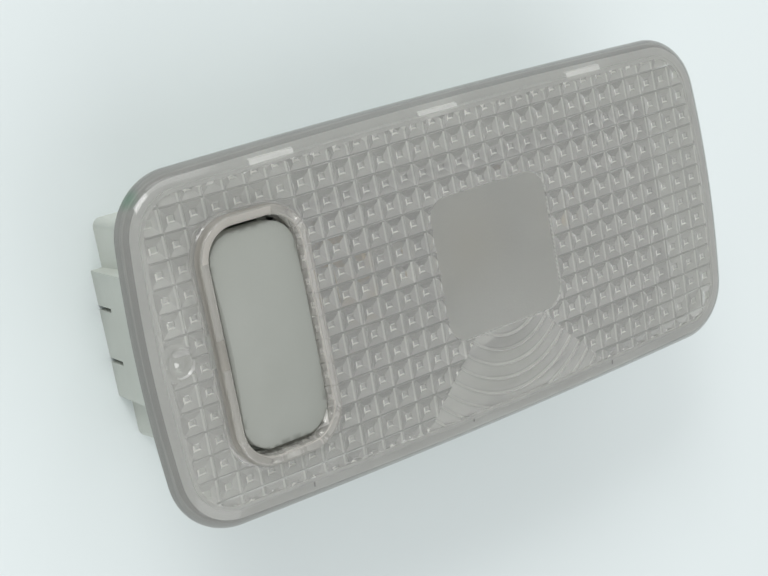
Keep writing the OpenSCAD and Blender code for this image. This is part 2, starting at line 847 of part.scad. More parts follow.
module door_blade() {
  side_blade(1);
}

module earth_blade() {
  side_blade(-1);
}

module feed_blade() {
  y = feed_y + 2.3;
  right = rivet_x + 1.4;
  color(brass)
    difference() {
      union() {
        translate([right - 2.8, feed_y - 1.5, strip_z1])
          cube([2.8, y + strip_wall - feed_y + 1.5, strip_wall]);
        translate([0, y + strip_wall, 0])
          rotate([90, 0, 0])
            linear_extrude(strip_wall)
              polygon([[right, tab_z1], [right - 2.8, tab_z1], [right - 2.8, pocket_depth - 0.3],
                [right - blade_width + 0.2, pocket_depth - 0.3],
                [right - blade_width + 0.2, 2.4], [right - blade_width + 1.2, 1.4],
                [right - 0.8, 1.4], [right + 0.2, 2.4], [right + 0.2, pocket_depth - 0.3],
                [right, pocket_depth - 0.3]]);
      }
      translate([rivet_x, feed_y, strip_z1 - 1])
        cylinder(h = 3, r = hole_radius, $fn = 32);
    }
}

module rivet(x, y, top) {
  translate([x, y, 0])
    rotate_extrude($fn = 32) {
      translate([0, pocket_depth - 0.6])
        square([head_radius, 0.6]);
      translate([0, pocket_depth - 0.1])
        square([rivet_radius, top - pocket_depth + 0.2]);
      translate([0, top])
        square([head_radius, 0.6]);
    }
}

module contact_rivets() {
  color(brass) {
    rivet(rivet_x, feed_y, tab_z1);
    rivet(rivet_x, -feed_y, strip_z1);
    rivet(rocker_x, door_y, tab_z1);
    rivet(rocker_x, -door_y, tab_z1);
  }
}

// half section of the trough, thickened inwards
module trough(t) {
  polygon([[-reflector_floor + t * 0.5, refl_z + t], [-refl_hw + t * 1.1, refl_top + (t > 0 ? 1 : 0)],
    [refl_hw - t * 1.1, refl_top + (t > 0 ? 1 : 0)], [reflector_floor - t * 0.5, refl_z + t]]);
}

module reflector() {
  color([0.86, 0.87, 0.86])
    difference() {
      translate([refl_x0, 0, 0])
        rotate([90, 0, 90])
          linear_extrude(refl_x1 - refl_x0)
            trough(0);
      translate([refl_x0 + reflector_wall, 0, 0])
        rotate([90, 0, 90])
          linear_extrude(refl_x1 - refl_x0 - 2 * reflector_wall)
            trough(reflector_wall);
      for (x = [clip_l - strip_wall / 2, clip_r + strip_wall / 2])
        translate([x - 1.2, -4.8, refl_z - 1])
          cube([2.4, 9.6, 3]);
    }
}

module bulb_glass() {
  h = glass_length / 2;
  color([0.9, 0.92, 0.93, 0.3])
    translate([bulb_x, 0, bulb_height])
      rotate([0, 90, 0])
        rotate_extrude()
          difference() {
            hull_free(h, bulb_radius);
            hull_free(h - 0.9, bulb_radius - 0.8);
          }
}

// half section of the bulb envelope
module hull_free(h, r) {
  translate([0, -h + 3])
    square([r, 2 * h - 6]);
  for (s = [-1, 1])
    intersection() {
      translate([0, s * (h - r)])
        circle(r);
      translate([0, s > 0 ? h - 3 - eps : -h])
        square([r, 3 + eps]);
    }
}

// brass cap with the nipple that sits in the clip
module cap(s) {
  h = glass_length / 2;
  tip = bulb_span / 2 + strip_wall + 0.6;
  color(brass)
    translate([bulb_x, 0, bulb_height])
      rotate([0, s * 90, 0])
        rotate_extrude() {
          polygon([[0, h + 0.2], [3.2, h + 0.2], [3.2, h - 0.6], [4.1, h - 0.6],
            [4.1, bulb_span / 2 - 2], [2.6, bulb_span / 2 - 0.1], [0, bulb_span / 2 - 0.1]]);
          translate([0, bulb_span / 2 - 0.2])
            square([2, tip - bulb_span / 2 - 0.6]);
          polygon([[0, tip - 1], [2, tip - 1], [1.2, tip], [0, tip]]);
        }
}

module bulb_cap_left() {
  cap(-1);
}

module bulb_cap_right() {
  cap(1);
}

module bulb_filament() {
  h = glass_length / 2;
  color([0.5, 0.5, 0.5])
    translate([bulb_x - h + 1.2, 0, bulb_height])
      rotate([0, 90, 0]) {
        cylinder(h = 2 * h - 2.4, r = 0.2, $fn = 16);
        translate([0, 0, h - 1.2 - 8])
          cylinder(h = 16, r = 0.45, $fn = 24);
      }
}

// bent leaf: foot on the box wall, knee outside, end turned back in
module roof_clip() {
  w = box_hw;
  k = box_hw + clip_reach;
  color(steel)
    rotate([90, 0, 90])
      linear_extrude(clip_width, center = true)
        polygon([[w + 0.02, 2], [w + 0.02 + clip_wall, 2], [w + 0.02 + clip_wall, 9.2],
          [k + 0.3, 19], [k - 3.2, 27.4], [k - 4, 27], [k - 0.75, 19.1], [w + 0.02, 9.6]]);
}

module roof_clip_upper() {
  roof_clip();
}

module roof_clip_lower() {
  mirror([0, 1, 0])
    roof_clip();
}

lens();
housing();
rocker_button();
switch_plunger();
switch_spring();
seesaw_contact();
common_contact();
feed_contact();
door_contact();
earth_contact();
feed_blade();
door_blade();
earth_blade();
contact_rivets();
reflector();
bulb_glass();
bulb_cap_left();
bulb_cap_right();
bulb_filament();
roof_clip_upper();
roof_clip_lower();
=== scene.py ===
import bpy
import bmesh
import math
import numpy as np
from itertools import chain
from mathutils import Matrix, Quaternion, Vector
from mathutils.geometry import delaunay_2d_cdt


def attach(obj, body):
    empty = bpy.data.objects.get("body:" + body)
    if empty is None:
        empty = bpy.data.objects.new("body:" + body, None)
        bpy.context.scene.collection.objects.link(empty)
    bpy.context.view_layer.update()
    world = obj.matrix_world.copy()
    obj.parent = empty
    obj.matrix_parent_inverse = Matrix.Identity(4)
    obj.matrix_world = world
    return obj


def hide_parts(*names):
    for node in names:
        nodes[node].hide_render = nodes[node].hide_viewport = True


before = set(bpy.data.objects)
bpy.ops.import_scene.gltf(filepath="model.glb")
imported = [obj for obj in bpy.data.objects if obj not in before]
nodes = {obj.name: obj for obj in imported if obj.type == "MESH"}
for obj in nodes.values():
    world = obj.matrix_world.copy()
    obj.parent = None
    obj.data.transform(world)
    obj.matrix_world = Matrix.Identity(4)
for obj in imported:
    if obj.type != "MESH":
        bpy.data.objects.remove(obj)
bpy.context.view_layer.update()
mm = 0.001
print("frame loaded:", len(nodes), "nodes")


# the lamp's main sizes in mm, as the CAD has them
body = dict(
    depth=38.0, seat=32.2, flangeTop=33.8,                   # heights: crown, skirt's foot, housing flange
    halfL=64.1, halfW=30.2, corner=11.0, endBow=2.0, sideBow=0.8,
    crownLong=1.46, crownWide=0.92,                          # the crown's fall to the ends and to the sides
    wall=2.0, skirt=2.0, ledge=1.4, rim=4.5,
)
endR = (body["halfW"] ** 2 + body["endBow"] ** 2) / (2 * body["endBow"])
sideR = (body["halfL"] ** 2 + body["sideBow"] ** 2) / (2 * body["sideBow"])
endC, sideC = body["halfL"] - endR, body["halfW"] - sideR
# corner centre: endR - corner from one arc's centre and sideR - corner from the other's
toEndC, toSideC, between = endR - body["corner"], sideR - body["corner"], math.hypot(endC, sideC)
along = (toEndC ** 2 - toSideC ** 2 + between ** 2) / (2 * between)
across = math.sqrt(toEndC ** 2 - along ** 2)
cornerX = endC - along * endC / between - across * sideC / between
cornerY = along * sideC / between - across * endC / between
endAng, sideAng = math.asin(cornerY / toEndC), math.asin(cornerX / toSideC)
crownRx = body["halfL"] ** 2 / (2 * body["crownLong"])
crownRy = body["halfW"] ** 2 / (2 * body["crownWide"])


def crown(x, y):
    # height of the outer face: a parabola each way, falling from the middle
    return body["depth"] - x * x / (2 * crownRx) - y * y / (2 * crownRy)


def insetAt(x, y):
    # distance inwards from the bowed outline: to the corner arc in its sector, else to the nearer arc
    ax, ay = np.abs(x), np.abs(y)
    toEnd = endR - np.hypot(ax - endC, ay)
    toSide = sideR - np.hypot(ax, ay - sideC)
    toCorner = body["corner"] - np.hypot(ax - cornerX, ay - cornerY)
    a = np.arctan2(ay - cornerY, ax - cornerX)
    inCorner = (a > endAng) & (a < math.pi / 2 - sideAng)
    return np.where(inCorner, toCorner, np.minimum(toEnd, toSide))


def roundRect(x, y, w, l, r):
    # signed distance to a rounded rectangle, negative inside: outside its inner corners' box the
    # length to it, inside it the nearer side, both less the radius
    qx, qy = np.abs(x) - (w / 2 - r), np.abs(y) - (l / 2 - r)
    return np.hypot(np.maximum(qx, 0), np.maximum(qy, 0)) + np.minimum(np.maximum(qx, qy), 0) - r


def soften(a, b, t):
    # 0 at a, 1 at b, with a soft S between: 3 t squared less 2 t cubed
    t = np.clip((t - a) / (b - a), 0, 1)
    return t * t * (3 - 2 * t)


def outlineLoop():
    # the outline's points and outward normals: eight arcs, counter-clockwise from the right end's
    # lower corner, with extra points on the left end where the gate mark meets the rim
    q = math.pi / 2
    corner, bow = 30, 90                                     # points on each corner and each long side
    fine = np.sort(np.concatenate([np.linspace(-endAng, endAng, 26)[:-1], np.linspace(-0.02, 0.02, 27)]))
    arcs = [
        (endC, 0, endR, np.linspace(-endAng, endAng, 34)[:-1]),
        (cornerX, cornerY, body["corner"], np.linspace(endAng, q - sideAng, corner)[:-1]),
        (0, sideC, sideR, np.linspace(q - sideAng, q + sideAng, bow)[:-1]),
        (-cornerX, cornerY, body["corner"], np.linspace(q + sideAng, 2 * q - endAng, corner)[:-1]),
        (-endC, 0, endR, 2 * q + fine),
        (-cornerX, -cornerY, body["corner"], np.linspace(2 * q + endAng, 3 * q - sideAng, corner)[:-1]),
        (0, -sideC, sideR, np.linspace(3 * q - sideAng, 3 * q + sideAng, bow)[:-1]),
        (cornerX, -cornerY, body["corner"], np.linspace(3 * q + sideAng, 4 * q - endAng, corner)[:-1]),
    ]
    pts = np.concatenate([np.stack([cx + r * np.cos(a), cy + r * np.sin(a)], 1) for cx, cy, r, a in arcs])
    nrm = np.concatenate([np.stack([np.cos(a), np.sin(a)], 1) for cx, cy, r, a in arcs])
    keep = np.hypot(*(pts - np.roll(pts, 1, 0)).T) > 0.02    # drops points that fall on each other
    return pts[keep], nrm[keep]


def rectLoop(w, l, r, arc=12, step=1.0):
    # rounded rectangle counter-clockwise with outward normals: a quarter circle at each corner, then
    # points about one step apart along the side after it
    pts, nrm = [], []
    quarter = np.linspace(0, math.pi / 2, arc)
    corners, headings = ((1, 1), (-1, 1), (-1, -1), (1, -1)), ((-1, 0), (0, -1), (1, 0), (0, 1))
    for k in range(4):
        a = quarter + k * math.pi / 2
        n = np.stack([np.cos(a), np.sin(a)], 1)
        pts.append(np.array(corners[k]) * [w / 2 - r, l / 2 - r] + r * n)
        nrm.append(n)
        run = (w if k % 2 == 0 else l) - 2 * r
        parts = max(int(run / step), 1)
        s = np.linspace(0, 1, parts + 1)[1:-1, None]
        pts.append(pts[-1][-1] + s * run * np.array(headings[k]))
        nrm.append(np.repeat(nrm[-1][-1:], parts - 1, 0))
    return np.concatenate(pts), np.concatenate(nrm)


def fillPlane(loops, points, edges):
    # flat triangulation of loops (lists of points joined in order), loose points and extra edges:
    # gives points, triangles facing up, and the new numbers of each loop's points
    pts, seg, starts, n = [], [], [], 0
    for loop, closed in loops:
        ids = np.arange(len(loop)) + n
        pts.append(loop)
        seg.append(np.stack([ids, np.roll(ids, -1)], 1)[:None if closed else -1])
        starts.append(ids)
        n += len(loop)
    pts.append(points)
    if len(edges):
        seg.append(edges + n)
    allPts = np.concatenate(pts)
    out = delaunay_2d_cdt([Vector(p) for p in allPts.tolist()], np.concatenate(seg).tolist(), [], 0, 1e-6)
    newPts, tris, origins = np.array([v[:] for v in out[0]]), np.array(out[2]), out[3]
    where = -np.ones(len(allPts), int)
    where[np.fromiter(chain.from_iterable(origins), int)] = np.repeat(
        np.arange(len(origins)), np.fromiter(map(len, origins), int))
    a, b, c = newPts[tris[:, 0]], newPts[tris[:, 1]], newPts[tris[:, 2]]
    area = (b[:, 0] - a[:, 0]) * (c[:, 1] - a[:, 1]) - (b[:, 1] - a[:, 1]) * (c[:, 0] - a[:, 0])
    tris[area < 0] = tris[area < 0][:, ::-1]
    return newPts, tris[np.abs(area) > 1e-9], [where[i] for i in starts]


def dropInside(tris, ids):
    # leaves out the triangles whose three corners all lie on one convex loop
    return tris[~np.isin(tris, ids).all(1)]


class shell:
    # a mesh being put together: points, faces, and each face's material and shading
    def __init__(self):
        self.verts, self.faces, self.slots, self.flats, self.n = [], [], [], [], 0

    def points(self, pts):
        # takes the points in and gives their numbers
        self.verts.append(pts)
        self.n += len(pts)
        return np.arange(len(pts)) + self.n - len(pts)

    def add(self, faces, slot=0, flat=False):
        # slot is one material number for all the faces, or one for each
        self.faces += faces.tolist()
        self.slots.append(np.full(len(faces), slot))
        self.flats.append(np.full(len(faces), flat))

    def strip(self, a, b, slot=0, flat=False, flip=False):
        # quads between two closed loops; unflipped, they face outwards when b lies below a
        q = np.stack([a, b, np.roll(b, -1), np.roll(a, -1)], 1)
        self.add(q[:, ::-1] if flip else q, slot, flat)

    def piece(self, name, materials, ride, slot):
        # the finished object, riding on its body
        mesh = bpy.data.meshes.new(name)
        mesh.from_pydata((np.concatenate(self.verts) * mm).tolist(), [], self.faces)
        for m in materials:
            mesh.materials.append(m)
        mesh.polygons.foreach_set("use_smooth", ~np.concatenate(self.flats))
        mesh.polygons.foreach_set("material_index", np.concatenate(self.slots))
        mesh.update()
        obj = bpy.data.objects.new(name, mesh)
        bpy.context.scene.collection.objects.link(obj)
        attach(obj, ride)
        print("piece", name, len(mesh.polygons), "faces")
        return obj


def smoothCopy(name, node, material, ride, bevel=0.0, angle=32, join=True, shape=None):
    # the CAD node's mesh merged, with smooth curves: join makes one face of flat ones, bevel softens
    # the edges sharper than the angle, shape gives new heights from the points in mm
    bm = bmesh.new()
    bm.from_mesh(nodes[node].data)
    bmesh.ops.remove_doubles(bm, verts=bm.verts, dist=2e-6)
    if join:
        bmesh.ops.dissolve_limit(bm, angle_limit=math.radians(0.6), verts=bm.verts, edges=bm.edges)
    bmesh.ops.recalc_face_normals(bm, faces=bm.faces)
    mesh = bpy.data.meshes.new(name)
    bm.to_mesh(mesh)
    bm.free()
    mesh.materials.clear()
    mesh.materials.append(material)
    if shape:
        co = np.empty(3 * len(mesh.vertices), np.float32)
        mesh.vertices.foreach_get("co", co)
        co = co.reshape(-1, 3)
        co[:, 2] = shape(co / mm) * mm
        mesh.vertices.foreach_set("co", co.ravel())
    mesh.polygons.foreach_set("use_smooth", np.ones(len(mesh.polygons), bool))
    mesh.set_sharp_from_angle(angle=math.radians(angle))
    obj = bpy.data.objects.new(name, mesh)
    bpy.context.scene.collection.objects.link(obj)
    if bevel:
        b = obj.modifiers.new("softEdges", "BEVEL")
        b.width, b.segments, b.limit_method, b.angle_limit = bevel * mm, 2, "ANGLE", math.radians(angle)
        b.harden_normals = True
    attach(obj, ride)
    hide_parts(node)
    return obj


# camera at the photograph's angle
cam = bpy.data.cameras.new("photoCamera")
cam.sensor_width, cam.lens, cam.clip_start, cam.clip_end = 36.0, 75.89, 0.01, 20.0
camera = bpy.data.objects.new("photoCamera", cam)
camera.location = (-0.16828680, 0.05835247, 0.25607766)
camera.rotation_mode = "QUATERNION"
camera.rotation_quaternion = Quaternion((0.94309851, -0.07353439, -0.30124859, -0.12002992))
bpy.context.scene.collection.objects.link(camera)
bpy.context.scene.camera = camera


def newMaterial(name, color, rough, metallic=0.0, **sockets):
    # a Principled material; further sockets are named with _ for a space
    m = bpy.data.materials.new(name)
    m.use_nodes = True
    p = m.node_tree.nodes["Principled BSDF"]
    p.inputs["Base Color"].default_value = (*color, 1)
    p.inputs["Roughness"].default_value = rough
    p.inputs["Metallic"].default_value = metallic
    for k, v in sockets.items():
        p.inputs[k.replace("_", " ")].default_value = v
    return m


def addNode(m, kind, inputs=None, **props):
    # a shader node: an input that is a socket is linked, any other is a plain value
    n = m.node_tree.nodes.new(kind)
    for k, v in props.items():
        setattr(n, k, v)
    for k, v in (inputs or {}).items():
        if isinstance(v, bpy.types.NodeSocket):
            m.node_tree.links.new(v, n.inputs[k])
        else:
            n.inputs[k].default_value = v
    return n


def principled(m):
    return m.node_tree.nodes["Principled BSDF"]


def scaled(color, by):
    return tuple(min(c * by, 1.0) for c in color)


def noiseOn(m, scale, detail=4.0, stretch=None):
    # fractal noise on object coordinates, in cells per metre
    vec = addNode(m, "ShaderNodeTexCoord").outputs["Object"]
    if stretch:
        vec = addNode(m, "ShaderNodeMapping", {"Vector": vec, "Scale": stretch}).outputs["Vector"]
    return addNode(m, "ShaderNodeTexNoise", {"Vector": vec, "Scale": scale, "Detail": detail}).outputs["Fac"]


def driftColor(m, color, other, scale):
    # the colour wanders between two, as the noise goes from low to high
    fac = addNode(m, "ShaderNodeMapRange", {"Value": noiseOn(m, scale), "From Min": 0.35, "From Max": 0.65})
    mix = addNode(m, "ShaderNodeMix", {"Factor": fac.outputs["Result"]}, data_type="RGBA")
    mix.inputs[6].default_value, mix.inputs[7].default_value = (*color, 1), (*other, 1)
    m.node_tree.links.new(mix.outputs[2], principled(m).inputs["Base Color"])
    return mix


def tintSpot(m, before, place, fade, color):
    # another colour round one place, in mm: full inside the first radius, gone at the second
    at = addNode(m, "ShaderNodeVectorMath", {0: addNode(m, "ShaderNodeTexCoord").outputs["Object"],
                                             1: tuple(c * mm for c in place)}, operation="DISTANCE")
    r = addNode(m, "ShaderNodeMapRange", {"Value": at.outputs["Value"], "From Min": fade[0] * mm,
                                          "From Max": fade[1] * mm, "To Min": 1.0, "To Max": 0.0})
    mix = addNode(m, "ShaderNodeMix", {"Factor": r.outputs["Result"]}, data_type="RGBA")
    m.node_tree.links.new(before.outputs[2], mix.inputs[6])
    mix.inputs[7].default_value = (*color, 1)
    m.node_tree.links.new(mix.outputs[2], principled(m).inputs["Base Color"])
    return mix


def driftRough(m, low, high, scale):
    # the roughness wanders from low to high with the noise
    r = addNode(m, "ShaderNodeMapRange", {"Value": noiseOn(m, scale), "From Min": 0.3, "From Max": 0.7,
                                          "To Min": low, "To Max": high})
    m.node_tree.links.new(r.outputs["Result"], principled(m).inputs["Roughness"])


def grain(m, scale, distance, strength=1.0, stretch=None):
    # moulded or drawn grain as a bump, its height in metres
    bump = addNode(m, "ShaderNodeBump", {"Height": noiseOn(m, scale, 5.0, stretch),
                                         "Distance": distance, "Strength": strength})
    m.node_tree.links.new(bump.outputs["Normal"], principled(m).inputs["Normal"])


# the lens: sizes in mm, then its clear plastic's tones, among them painted light and shade; haze is the
# share that isn't clear
lens = dict(
    pitch=4.0,                                               # the square prisms
    depths=((0, -0.10), (0.2, 0.06), (0.5, 0.16), (0.95, 0.32),        # how deep, this far in from the
            (1.18, 0.40), (1.4, 0.48), (1.6, 0.80), (2.0, 0.72)),      # cell's border
    gridEdge=4.0, borderFrom=1.8, bandFrom=1.5, tip=(0.36, 0.6), glintTo=0.82, deepX=(-32, 44),
    window=(6.6, 26.3, 25.6, 3.8), padDrop=0.9,              # x, width, length, corner
    fanAt=(6.6, -5.0), fanFirst=9.7, fanPitch=2.57, fanCount=8, fanAngle=math.radians(45),
    ribDepth=0.7, ribTop=0.84, ribFoot=0.98,
    gate=(-58.6, 0.0, 2.4),                                  # x, y, radius
    collarX=-42.6, collarW=20.6, collarL=41.2, collarR=7.1, collarWall=1.7, collarRise=1.5,
    notchHalf=2.85, notchDeep=1.1, litSideFrom=0.72,
    snapX=(-34.4, 0.0, 34.4), snapW=8.4, faceStep=1.6,
    tint=(0.93, 0.93, 0.90), haze=0.14, ior=1.49, outerRough=(0.03, 0.08), prismRough=(0.07, 0.12),
    # painted light and shade: lit and shaded copies of the prism plastic, each a tone and a haze; the tip
    # glint is a painted highlight
    prismTones=(("prismFacetPlain", 0.93, 0.32), ("prismFacetShaded", 0.50, 0.30),
                ("prismPaintedLight", 0.97, 0.52), ("prismTipGlint", 1.07, 1.0),
                ("prismBorderPaintedShade", 0.34, 0.40), ("prismFacetHalfShaded", 0.79, 0.32)),
    # the collar's clear tone, then painted shade for its outer edge and painted light for its inner bevel
    collarTones=(("clearPlasticCollar", (0.80, 0.78, 0.73), 0.26),
                 ("collarEdgePaintedShade", (0.44, 0.42, 0.375), 0.50),
                 ("collarBevelPaintedLight", (0.56, 0.535, 0.49), 0.60)),
    mattTone=((0.57, 0.58, 0.54), (0.53, 0.54, 0.50)), mattRough=0.5, mattHaze=0.42,
    mattSpots=(((1.0, 3.0, 35.0), (1.0, 12.0), (0.58, 0.565, 0.475)),          # warm, left of the middle
               ((8.0, -15.0, 35.0), (3.0, 17.0), (0.66, 0.67, 0.635))),        # paler towards the fan
    greenSpot=((-61.0, 27.6, 33.8), (0.7, 3.0), (0.22, 0.72, 0.44)),
    # painted shade for the rim's and the ledge's undersides, painted light for the snap tongues
    under=(0.24, 0.24, 0.22), ledgeTone=(0.56, 0.57, 0.545), snapTone=(0.97, 0.98, 0.96),
)


def lensMaterials():
    # every finish of the lens by name, painted light and shade among them, in the order of its material
    # slots
    made = []
    outer = newMaterial("clearPlastic", lens["tint"], 0.08, IOR=lens["ior"],
                        Transmission_Weight=1 - lens["haze"])
    driftRough(outer, *lens["outerRough"], 70)
    tintSpot(outer, driftColor(outer, lens["tint"], scaled(lens["tint"], 0.95), 40), *lens["greenSpot"])
    made.append(outer)
    # each prism tone is the tint lit or shaded by painted light and shade
    for name, tone, haze in lens["prismTones"]:
        color = scaled(lens["tint"], tone)
        m = newMaterial(name, color, 0.1, IOR=lens["ior"], Transmission_Weight=1 - haze)
        driftColor(m, color, scaled(color, 0.96), 60)
        driftRough(m, *lens["prismRough"], 120)
        made.append(m)
    # the collar's clear tone and its painted shade and painted light copies
    for name, color, haze in lens["collarTones"]:
        m = newMaterial(name, color, 0.08, IOR=lens["ior"], Transmission_Weight=1 - haze)
        driftColor(m, color, scaled(color, 0.93), 150)
        driftRough(m, 0.05, 0.10, 120)
        made.append(m)
    matt = newMaterial("clearPlasticMatt", lens["tint"], lens["mattRough"], IOR=lens["ior"],
                       Transmission_Weight=1 - lens["mattHaze"])
    mix = driftColor(matt, *lens["mattTone"], 60)
    for spot in lens["mattSpots"]:
        mix = tintSpot(matt, mix, *spot)
    grain(matt, 2200, 0.00006)
    # the rim's underside darkened: painted shade
    rim = newMaterial("rimUndersidePaintedShade", lens["under"], 0.5, IOR=lens["ior"], Transmission_Weight=0.2)
    driftColor(rim, lens["under"], scaled(lens["under"], 0.9), 90)
    # the ledge's underside a mid grey: painted shade
    ledge = newMaterial("ledgeUndersidePaintedShade", lens["ledgeTone"], 0.5, IOR=lens["ior"],
                        Transmission_Weight=0.15)
    driftColor(ledge, lens["ledgeTone"], scaled(lens["ledgeTone"], 0.93), 70)
    # the snap tongues near white: painted light
    snap = newMaterial("snapTonguePaintedLight", lens["snapTone"], 0.4, IOR=lens["ior"])
    driftColor(snap, lens["snapTone"], (0.90, 0.91, 0.89), 90)
    return {m.name: m for m in made + [matt, rim, ledge, snap]}


lensFinish = lensMaterials()
slotOf = {name: k for k, name in enumerate(lensFinish)}
# slots of the prism faces' painted light, shade and highlight
facetPlain, facetShaded, paintedLight, tipGlint, borderPaintedShade, halfShaded = (
    slotOf[tone[0]] for tone in lens["prismTones"])
print("lens materials made")


def collarDist(x, y):
    # distance outside the collar's outline
    return roundRect(x - lens["collarX"], y, lens["collarW"], lens["collarL"], lens["collarR"])


def windowDist(x, y):
    # distance outside the matt window
    wx, w, l, r = lens["window"]
    return roundRect(x - wx, y, w, l, r)


def gateDist(x, y):
    # distance from the middle of the gate mark
    return np.hypot(x - lens["gate"][0], y - lens["gate"][1])


def fanPolar(x, y):
    # radius from the fan's centre and the distance inside its nearer straight side
    dx, dy = x - lens["fanAt"][0], y - lens["fanAt"][1]
    r = np.hypot(dx, dy)
    return r, (lens["fanAngle"] - np.arctan2(np.abs(dx), -dy)) * r


def prismDepth(x, y):
    # how far the inner face hangs below the plain wall: pyramids with dimpled tips on a square grid,
    # saw-tooth ribs in the fan, and a level pad behind the window
    p = lens["pitch"]
    step, drop = np.array(lens["depths"]).T
    fx, fy = np.abs((x / p) % 1 - 0.5), np.abs((y / p) % 1 - 0.5)
    depth = np.interp((0.5 - np.maximum(fx, fy)) * p, step, drop)
    r, side = fanPolar(x, y)
    k = (r - lens["fanFirst"]) / lens["fanPitch"]
    ribs = np.interp(k % 1, [0, lens["ribTop"], lens["ribFoot"], 1.0],
                     [0.04, lens["ribDepth"], lens["ribDepth"], 0.04])
    depth = np.where((side > 0) & (k > -1), ribs, depth)
    depth = np.where(gateDist(x, y) < lens["gate"][2] + 0.6, 0.3, depth)
    depth = np.where(insetAt(x, y) < lens["gridEdge"], 0.0, depth)
    pad = crown(x, y) - body["wall"] - (body["depth"] - body["wall"] - lens["padDrop"])
    return np.where(windowDist(x, y) < 0, pad, depth)


def prismClass(x, y):
    # each inner facet's finish by its place in the cell, all painted light and shade: painted shade on the
    # upper and left ones, a band of painted light at the right, lines of painted shade on the borders,
    # painted highlights on the tip's left and lower walls, ribs by radius
    p = lens["pitch"]
    u, v = ((x / p) % 1 - 0.5) * p, ((y / p) % 1 - 0.5) * p
    a = np.maximum(np.abs(u), np.abs(v))
    low, high = lens["tip"]
    left, lower, upper = -u > np.abs(v), -v > np.abs(u), v > np.abs(u)
    deep = (x > lens["deepX"][0]) & (x < lens["deepX"][1])   # the bulb's white sheet lies behind here; here the painted shade is stronger
    kind = np.where((left | upper) & (a > high) & (a < lens["borderFrom"]),
                    np.where(deep, facetShaded, halfShaded), facetPlain)
    # a band of painted light at the right of each cell
    kind = np.where((u > lens["bandFrom"]) & (u < lens["borderFrom"]), paintedLight, kind)
    # lines of painted shade on the borders
    border = (u < -lens["borderFrom"]) | (np.abs(v) > lens["borderFrom"])
    kind = np.where(border, np.where(deep, borderPaintedShade, facetShaded), kind)
    tipWall = (a > low) & (a < high)
    kind = np.where(tipWall, np.where(left | lower, tipGlint, facetShaded), kind)
    # painted highlight running further along the tip's left facet
    kind = np.where(left & (a < lens["glintTo"]) & (a > high) & (v < 0.45), tipGlint, kind)
    r, side = fanPolar(x, y)
    k = (r - lens["fanFirst"]) / lens["fanPitch"]
    # fan ribs: painted light on each ridge, painted shade beside it
    ridge, besideRidge = k % 1 > lens["ribTop"], (k % 1 > lens["ribTop"] - 0.12) | (k % 1 < 0.13)
    rib = np.where(ridge, paintedLight, np.where(besideRidge, halfShaded, facetPlain))
    kind = np.where((side > 0) & (k > -1), rib, kind)
    bare = (gateDist(x, y) < lens["gate"][2] + 0.7) | (insetAt(x, y) < lens["gridEdge"])
    kind = np.where(bare, facetPlain, kind)
    return np.where(windowDist(x, y) < 0, slotOf["clearPlasticMatt"], kind)


def gateDish(x, y):
    # shallow round dish in the outer face, with a bell-shaped ring raised round its middle
    g = gateDist(x, y)
    wall = soften(lens["gate"][2] + 0.1, lens["gate"][2] - 0.4, g)
    return 0.6 * wall - 0.5 * np.exp(-((g - 0.5) / 0.55) ** 2)


def outerClass(x, y):
    # finish of the outer face: clear, and in the gate mark painted shade on the top, painted light on the
    # foot and a dot of painted highlight
    g, (gx, gy, gr) = gateDist(x, y), lens["gate"]
    kind = np.where((g < gr + 0.05) & (y > gy + 1.1), halfShaded, slotOf["clearPlastic"])
    foot = (g > gr - 0.3) & (g < gr + 0.05) & (y < gy) & (x > gx - 0.9)
    kind = np.where(foot, facetPlain, kind)
    return np.where(np.hypot(x - gx + 0.9, y - gy) < 0.45, paintedLight, kind)


def polarRings(x, y, radii, n):
    # n points on each circle round one centre
    a = np.linspace(0, 2 * math.pi, n, endpoint=False)
    return np.concatenate([np.stack([x + r * np.cos(a), y + r * np.sin(a)], 1) for r in radii])


def lensOuterFace(lo, out, nrm, hole):
    # the crowned face from the rim's start to the collar, with close rings on the gate mark
    g = np.arange(-62, 62.1, lens["faceStep"])
    X, Y = [a.ravel() for a in np.meshgrid(g, np.arange(-28, 28.1, lens["faceStep"]), indexing="ij")]
    free = (insetAt(X, Y) > body["rim"] + 0.6) & (collarDist(X, Y) > 0.6) & (gateDist(X, Y) > 3.4)
    ring = polarRings(lens["gate"][0], 0, (0.01, 0.4, 0.8, 1.1, 1.5, 1.9, 2.15, 2.4, 2.8), 30)
    ring = ring[insetAt(ring[:, 0], ring[:, 1]) > body["rim"] + 0.12]
    pts, tris, (outer, holeTop) = fillPlane(
        [(out - nrm * body["rim"], True), (hole, True)],
        np.concatenate([np.stack([X[free], Y[free]], 1), ring]), np.zeros((0, 2), int))
    tris = dropInside(tris, holeTop)
    z = crown(pts[:, 0], pts[:, 1]) - gateDish(pts[:, 0], pts[:, 1])
    lo.points(np.column_stack([pts, z]))
    kind = outerClass(*pts[tris].mean(1).T)
    for k in np.unique(kind):
        lo.add(tris[kind == k], k)
    return outer, holeTop


